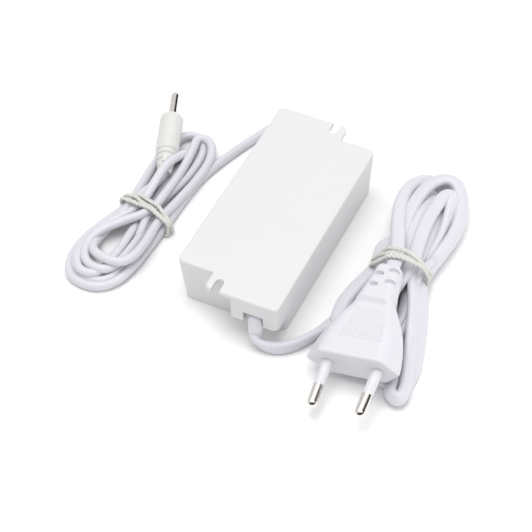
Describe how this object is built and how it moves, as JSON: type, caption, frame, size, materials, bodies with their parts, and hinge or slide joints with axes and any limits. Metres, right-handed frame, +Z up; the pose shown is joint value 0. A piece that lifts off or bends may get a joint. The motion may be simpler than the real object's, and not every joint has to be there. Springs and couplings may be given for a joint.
{
  "type": "power adapter",
  "caption": "Flat white mains adapter with slotted fixing ears, a hanked flat mains lead with a two-pin plug, and a hanked round output lead with a barrel plug.",
  "frame": {"origin": "under the middle of the case, on the surface it stands on", "axes": "+Z up, +Y along the case towards the end the output lead leaves, +X to the right seen from the mains-lead end"},
  "size_m": [0.1491, 0.1323, 0.0217],
  "materials": {
    "case_white": "fine satin moulded plastic",
    "cord_white": "soft satin PVC",
    "plug_white": "satin moulded PVC",
    "dc_plug_white": "satin moulded PVC, slightly warm",
    "tie": "pale cream twisted tie",
    "nickel": "bright nickel plate",
    "brown_insulator": "moulded insulator",
    "pin_sleeve": "hard insulating sleeve",
    "bridge_plastic": "glass-filled insert",
    "board_green": "solder-masked glass fibre board",
    "insulation_film": "thin clear film",
    "fuse_black": "moulded body",
    "varistor_blue": "dipped epoxy",
    "capacitor_yellow": "moulded box",
    "ferrite": "sintered ferrite",
    "copper": "enamelled copper wire",
    "chip_black": "moulded epoxy",
    "capacitor_sleeve": "shrunk sleeve",
    "aluminium": "bent sheet",
    "winding_tape": "polyester tape",
    "bobbin_black": "moulded bobbin",
    "wire_brown": "wire insulation",
    "wire_blue": "wire insulation",
    "wire_red": "wire insulation",
    "wire_black": "wire insulation"
  },
  "bodies": {
    "root": {"lower_housing": "case_white", "mounting_cover": "case_white", "circuit_board": "board_green", "insulation_sheet": "insulation_film", "input_fuse": "fuse_black", "varistor": "varistor_blue", "x_capacitor": "capacitor_yellow", "choke_core": "ferrite", "choke_windings": "copper", "bridge_rectifier": "chip_black", "bulk_capacitor": "capacitor_sleeve", "primary_heatsink": "aluminium", "power_transistor": "chip_black", "controller_chip": "chip_black", "chip_resistors": "chip_black", "optocoupler": "chip_black", "y_capacitor": "varistor_blue", "transformer_core_front": "ferrite", "transformer_core_rear": "ferrite", "transformer_bobbin": "bobbin_black", "transformer_winding": "winding_tape", "secondary_heatsink": "aluminium", "output_rectifier": "chip_black", "output_capacitors": "capacitor_sleeve", "output_choke_core": "ferrite", "output_choke_winding": "copper", "live_wire": "wire_brown", "neutral_wire": "wire_blue", "positive_wire": "wire_red", "negative_wire": "wire_black", "mains_strain_relief": "cord_white", "dc_strain_relief": "cord_white", "mains_cord": "cord_white", "mains_cord_hank": "cord_white", "mains_cord_loop": "cord_white", "mains_hank_tie": "tie", "mains_plug_body": "plug_white", "mains_plug_bridge": "bridge_plastic", "plug_pin_left": "nickel", "plug_pin_right": "nickel", "plug_pin_sleeve_left": "pin_sleeve", "plug_pin_sleeve_right": "pin_sleeve", "dc_cord": "cord_white", "dc_cord_hank": "cord_white", "dc_hank_tie": "tie", "dc_plug_body": "dc_plug_white", "dc_plug_barrel": "nickel", "dc_plug_insulator": "brown_insulator", "dc_plug_contact": "nickel"}
  },
  "joints": []
}
